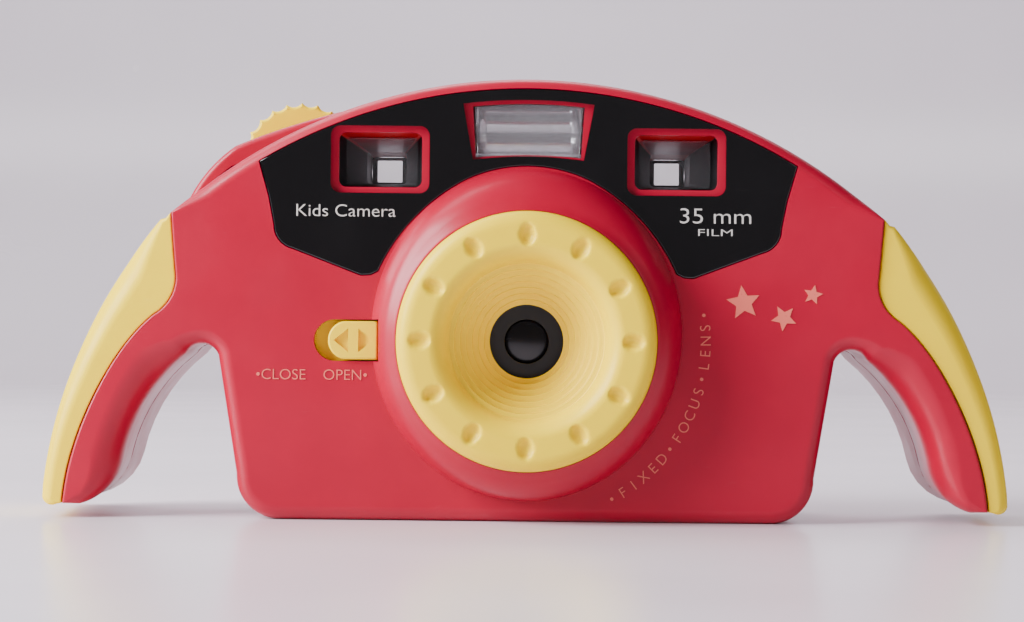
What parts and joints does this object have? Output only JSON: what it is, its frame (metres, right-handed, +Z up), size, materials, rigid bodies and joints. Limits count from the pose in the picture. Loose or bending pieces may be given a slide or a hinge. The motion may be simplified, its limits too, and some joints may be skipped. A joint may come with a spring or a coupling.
{
  "type": "toy film camera",
  "caption": "Child's film camera with an arched case, drooping side handles, big ringed lens, flash and two-eye viewfinder.",
  "frame": {"origin": "centre of the bounding box at the flat base", "axes": "+X to the right of the front view, +Y from the lens to the back, +Z up"},
  "size_m": [0.186, 0.052, 0.0833],
  "materials": {
    "red_shell": "satin moulded",
    "yellow_trim": "satin moulded",
    "black_panel": "high gloss",
    "black_plastic": "matt",
    "clear_plastic": "polished",
    "lamp_red": "tinted clear",
    "dial_white": "printed",
    "reflector": "metallised",
    "spring_steel": "plain",
    "cartridge": "plain",
    "cell_wrap": "wrapped",
    "board": "circuit board"
  },
  "bodies": {
    "case": {"aperture_stop": "black_plastic", "battery": "cell_wrap", "battery_tray": "black_plastic", "button_spring": "spring_steel", "case_screw_1": "spring_steel", "case_screw_2": "spring_steel", "case_screw_3": "spring_steel", "case_screw_4": "spring_steel", "case_screw_5": "spring_steel", "case_screw_6": "spring_steel", "contact_plate": "spring_steel", "contact_spring": "spring_steel", "counter_window": "clear_plastic", "door_hinge_pin": "spring_steel", "eyecup_left": "black_plastic", "eyecup_right": "black_plastic", "eyepiece_left": "clear_plastic", "eyepiece_right": "clear_plastic", "film_cartridge": "cartridge", "finder_frame_left": "black_plastic", "finder_frame_right": "black_plastic", "finder_lens_left": "clear_plastic", "finder_lens_right": "clear_plastic", "flash_board": "board", "flash_capacitor": "board", "flash_lens": "clear_plastic", "flash_reflector": "reflector", "flash_transformer": "board", "flash_tube": "clear_plastic", "front_panel": "black_panel", "front_shell": "red_shell", "grip_left": "yellow_trim", "grip_right": "yellow_trim", "lens_barrel": "black_plastic", "lens_element": "clear_plastic", "lens_ring": "yellow_trim", "main_chassis": "black_plastic", "ready_lamp": "lamp_red", "rear_shell": "red_shell", "shutter_plate": "black_plastic", "shutter_spring": "spring_steel"},
    "slider": {"cover_slider": "yellow_trim"},
    "lens_cover": {"cover_blade": "black_plastic"},
    "release": {"shutter_button": "yellow_trim", "release_bar": "spring_steel"},
    "shutter": {"shutter_blade": "black_plastic"},
    "wheel": {"advance_wheel": "yellow_trim"},
    "spool": {"take_up_spool": "black_plastic"},
    "sprocket_shaft": {"sprocket": "black_plastic"},
    "counter": {"counter_dial": "dial_white"},
    "rewinder": {"rewind_knob": "black_plastic"},
    "crank": {"rewind_crank": "yellow_trim"},
    "door": {"film_door": "red_shell", "pressure_spring": "spring_steel"},
    "latch": {"door_latch": "yellow_trim"},
    "pressure": {"pressure_plate": "black_plastic"},
    "battery_cover": {"battery_door": "red_shell"}
  },
  "joints": [
    {"name": "cover_slide", "type": "slide", "parent": "case", "child": "slider", "axis": [-1, 0, 0], "range_m": [0, 0.0026]},
    {"name": "cover_swing", "type": "hinge", "parent": "case", "child": "lens_cover", "pos_m": [-0.022, -0.01, 0.03], "axis": [0, 1, 0], "range_deg": [0, 43.2]},
    {"name": "shutter_press", "type": "slide", "parent": "case", "child": "release", "axis": [0, 0, -1], "range_m": [0, 0.0013], "stiffness_N_per_m": 400, "deforming": ["button_spring"]},
    {"name": "shutter_swing", "type": "hinge", "parent": "case", "child": "shutter", "pos_m": [-0.011, -0.0019, 0.041], "axis": [0, -1, 0], "range_deg": [0, 32.2]},
    {"name": "advance_turn", "type": "hinge", "parent": "case", "child": "wheel", "pos_m": [-0.0452, 0.016, 0.0691], "axis": [0, 1, 0], "continuous": true},
    {"name": "take_up_turn", "type": "hinge", "parent": "case", "child": "spool", "pos_m": [-0.0452, 0.0055, 0.03], "axis": [0, 0, 1], "continuous": true},
    {"name": "sprocket_turn", "type": "hinge", "parent": "case", "child": "sprocket_shaft", "pos_m": [-0.032, 0.0115, 0.03], "axis": [0, 0, 1], "continuous": true},
    {"name": "counter_turn", "type": "hinge", "parent": "case", "child": "counter", "pos_m": [-0.0265, 0.0138, 0.0035], "axis": [0, 0, 1], "continuous": true},
    {"name": "rewind_turn", "type": "hinge", "parent": "case", "child": "rewinder", "pos_m": [0.0395, 0.006, 0.002], "axis": [0, 0, 1], "continuous": true},
    {"name": "crank_fold", "type": "hinge", "parent": "rewinder", "child": "crank", "pos_m": [0.0348, 0.006, 0.0014], "axis": [0, 1, 0], "range_deg": [0, 105]},
    {"name": "door_swing", "type": "hinge", "parent": "case", "child": "door", "pos_m": [-0.0524, 0.024, 0.0326], "axis": [0, 0, 1], "range_deg": [0, 110]},
    {"name": "latch_slide", "type": "slide", "parent": "door", "child": "latch", "axis": [-1, 0, 0], "range_m": [0, 0.003], "stiffness_N_per_m": 150},
    {"name": "pressure_float", "type": "slide", "parent": "door", "child": "pressure", "axis": [0, 1, 0], "range_m": [0, 0.0006], "stiffness_N_per_m": 400},
    {"name": "battery_door_slide", "type": "slide", "parent": "case", "child": "battery_cover", "axis": [-1, 0, 0], "range_m": [0, 0.0038]}
  ],
  "couplings": [
    {"joint": "cover_swing", "follows": "cover_slide", "rad_per_m": 288.65},
    {"joint": "shutter_swing", "follows": "shutter_press", "rad_per_m": 429.62},
    {"joint": "take_up_turn", "follows": "advance_turn", "ratio": 0.66667},
    {"joint": "sprocket_turn", "follows": "advance_turn", "ratio": 0.76596},
    {"joint": "counter_turn", "follows": "advance_turn", "ratio": -0.021277}
  ]
}
